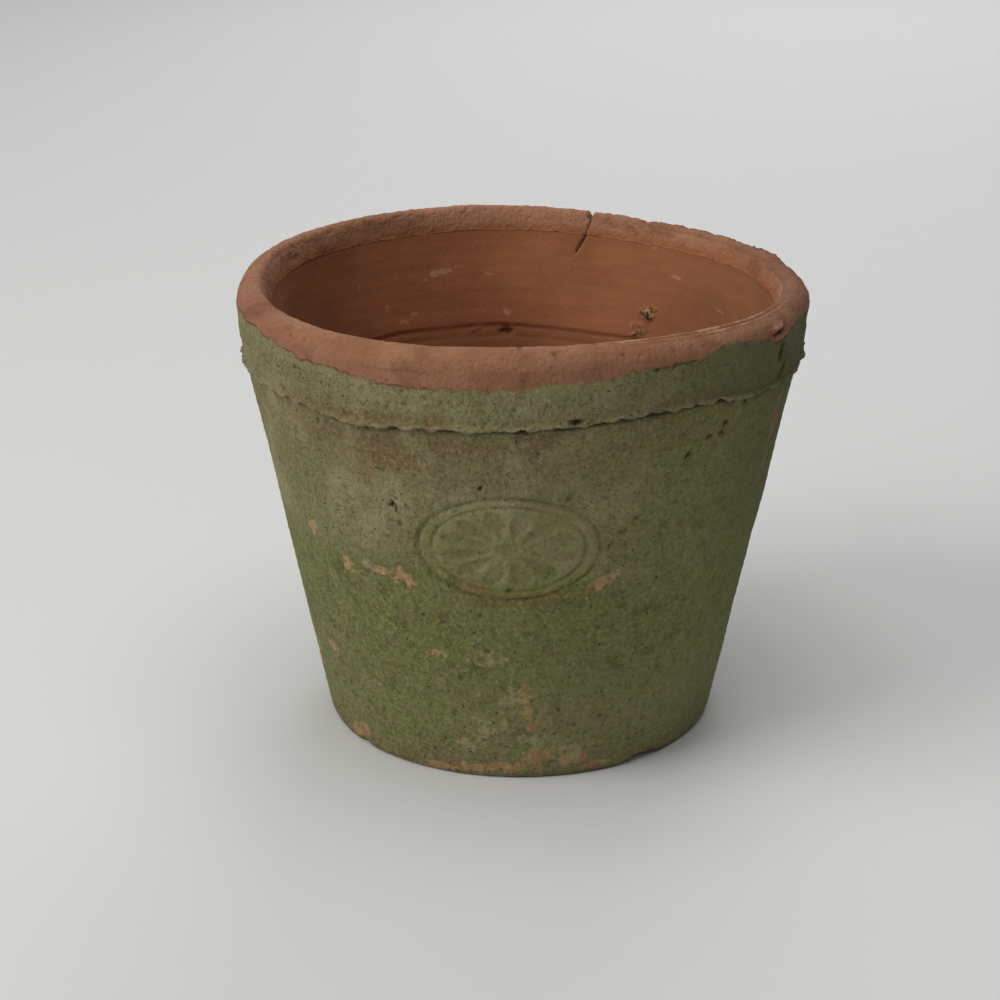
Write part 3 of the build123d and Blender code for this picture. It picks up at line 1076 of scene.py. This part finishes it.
def lay_marks(m, colour):
    """Lay the modelled marks over a colour: bare chips, lime, pits, cracks and soil, with painted shade
    in lines, pits, cracks and the gap under the fin.
    """
    grain = m.step(m.noise(2.2, 3, 16.0), 0.3, 0.7)
    chipped = m.mix(grain, TAN, ORANGE)
    worn = m.math("MULTIPLY", ragged(m, "worn", 3.0, 30.0, 0.5, 0.2, 0.9), 0.75)
    colour = m.mix(worn, colour, CLAY_DULL)
    orange = m.math("MULTIPLY", ragged(m, "orange", 3.0, 17.0, 0.50, 0.2, 1.6), 0.85)
    colour = m.mix(orange, colour, chipped)
    lime_bits = ragged(m, "lime", 2.6, 22.0, 0.88, 0.2, 2.6)
    colour = m.mix(m.math("MULTIPLY", lime_bits, 0.7), colour, LIME)
    pale_chip = m.mix(m.math("MULTIPLY", grain, 0.45), TAN, chipped)
    speckled = m.mix(m.step(grains(m), 0.50, 0.36, 0.6), pale_chip, BROWN)
    colour = m.mix(ragged(m, "bare", 1.6, 23.0, 0.42, 0.12, 1.3), colour, speckled)
    # Pale scratches and crumbs, and painted highlights on the fold and the crest.
    pale_marks_and_highlight = m.math("MULTIPLY", ragged(m, "pale", 1.8, 28.0, 0.62, 0.22, 1.5), 0.6)
    colour = m.mix(pale_marks_and_highlight, colour, PALE_MARKS_AND_HIGHLIGHT)
    # Painted shade: lines, pits, the gap under the fin and cracks are darkened; stain is real stains and
    # painted shade.
    for mask, amount, over in (
        ("line", 0.3, SOOT_AND_SHADE),
        ("pit", 0.5, SOOT_AND_SHADE),
        ("stain_and_shade", 0.4, SOOT_AND_SHADE),
        ("crevice_shade", 0.9, RECESS_SHADE),
        ("crack", 0.85, RECESS_SHADE),
    ):
        colour = m.mix(m.math("MULTIPLY", m.mask(mask), amount), colour, over)
    fleck = m.math("MULTIPLY", m.step(m.noise(1.2, 2, 18.0), 0.66, 0.74, 0.85), m.mask("coarse"))
    colour = m.mix(fleck, colour, SOOT_AND_SHADE)
    crumbs = m.mix(m.step(m.noise(1.2, 3, 24.0), 0.45, 0.60), SOIL, TAN)
    return m.mix(m.mask("soil"), colour, crumbs)


def weathered(name):
    """The pot's clay: bare or inner clay, the algae film where it grows, and its marks."""
    m = Material(name)
    if name == "rim_collar_clay":
        colour = m.mix(m.math("MULTIPLY", m.mask("handled"), 0.38), fired_clay(m), TERRACOTTA_DARK)
        colour = m.mix(m.math("MULTIPLY", m.mask("worn_pale"), 0.5), colour, TERRACOTTA_PALE)
        colour = m.mix(m.mask("inside"), colour, inner_clay(m))
        colour = m.mix(ragged(m, "moss", 2.6, 25.0, 0.5, 0.16, 0.9), colour, algae(m))
        # Painted highlight: the fin's ridge is paler.
        colour = m.mix(m.math("MULTIPLY", m.mask("fin"), 0.6), colour, KHAKI_PALE)
    else:
        colour = m.mix(m.mask("inside"), algae(m), inner_clay(m))
    colour = lay_marks(m, colour)
    rough = m.step(m.noise(3, 3, 19.0), 0.3, 0.7)
    roughness = m.node("ShaderNodeMapRange", {"Value": rough, "To Min": 0.82, "To Max": 0.97}).outputs[0]
    coarse = m.mask("coarse")
    heights = (
        (m.math("MULTIPLY", m.noise(3.4, 5, 20.0, roughness=0.62), coarse), 1.3),
        (m.math("MULTIPLY", grains(m), coarse), 1.7),
        (m.noise(0.7, 2, 21.0), 0.08),
        (m.math("MULTIPLY", m.step(m.noise(1.2, 2, 18.0), 0.74, 0.66), coarse), 0.25),
    )
    return m.finish(colour, roughness, heights)


# ---------------- stage, light and camera


def plain_material(name, colour, roughness):
    """A plain material for the stage."""
    material = bpy.data.materials.new(name)
    material.use_nodes = True
    shader = material.node_tree.nodes["Principled BSDF"]
    shader.inputs["Base Color"].default_value = (*colour, 1.0)
    shader.inputs["Roughness"].default_value = roughness
    return material


def make_stage():
    """A plain pale floor."""
    bpy.ops.mesh.primitive_plane_add(size=6.0, location=(0, 0, 0))
    ground = bpy.context.object
    ground.name = "pale_floor"
    ground.data.materials.append(plain_material("pale_floor", (0.72, 0.72, 0.71), 0.8))


def area_light(name, place, aim, size, power, colour=(1, 1, 1)):
    """A soft square light aimed at a point."""
    light = bpy.data.lights.new(name, "AREA")
    light.size = size
    light.energy = power
    light.color = colour
    lamp = bpy.data.objects.new(name, light)
    lamp.location = place
    lamp.rotation_euler = (Vector(aim) - Vector(place)).to_track_quat("-Z", "Y").to_euler()
    bpy.context.collection.objects.link(lamp)


def make_sky():
    """A pale sky all round, brighter on the left than on the right."""
    world = bpy.data.worlds.new("soft_sky")
    world.use_nodes = True
    nodes, links = world.node_tree.nodes, world.node_tree.links
    sky = nodes["Background"]
    sky.inputs["Color"].default_value = (0.96, 0.98, 1.0, 1.0)
    split = nodes.new("ShaderNodeSeparateXYZ")
    links.new(nodes.new("ShaderNodeTexCoord").outputs["Generated"], split.inputs[0])
    strength = nodes.new("ShaderNodeMapRange")
    links.new(split.outputs["X"], strength.inputs["Value"])
    for name, value in {"From Min": -1.0, "From Max": 1.0, "To Min": 0.33, "To Max": 0.12}.items():
        strength.inputs[name].default_value = value
    links.new(strength.outputs[0], sky.inputs["Strength"])
    bpy.context.scene.world = world


def make_light():
    """Soft daylight from the upper left and from overhead."""
    make_sky()
    middle = (0.0, 0.0, 0.06)
    area_light("window", (-1.05, -0.50, 0.95), middle, 0.9, 10.0, (1.0, 0.985, 0.96))
    area_light("overhead", (0.05, -0.15, 1.6), middle, 1.3, 9.5)
    area_light("behind", (0.3, 1.5, 1.0), (0.15, 0.9, 0.0), 1.0, 8.0)


CAMERA_PLACE = (-1.3, -624.2, 294.9)
CAMERA_PITCH = -0.3582
CAMERA_TURN = -0.0089
CAMERA_ROLL = -0.0069
FOCAL_RATIO = 2.3


def make_camera():
    """The camera, at the photograph's viewing angle."""
    data = bpy.data.cameras.new("camera")
    data.sensor_width = 36.0
    data.lens = 36.0 * FOCAL_RATIO
    data.clip_start = 0.01
    camera = bpy.data.objects.new("camera", data)
    camera.location = Vector(CAMERA_PLACE) * MM
    aim = Matrix.Rotation(-CAMERA_TURN, 3, "Z") @ Matrix.Rotation(math.pi / 2 + CAMERA_PITCH, 3, "X")
    camera.rotation_euler = (aim @ Matrix.Rotation(CAMERA_ROLL, 3, "Z")).to_euler()
    bpy.context.collection.objects.link(camera)
    bpy.context.scene.camera = camera


# ---------------- putting it together


def add_piece(piece, node):
    """Give a mesh its material, and let it stand for its CAD node."""
    piece.data.materials.append(weathered(piece.name))
    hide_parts(node)
    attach(piece, "root")


bpy.context.scene.view_settings.view_transform = "Standard"
make_camera()
make_light()
make_stage()
add_piece(make_wall(), "wall")
add_piece(make_floor_disc(), "floor_disc")
add_piece(make_rim_collar(), "rim_collar")
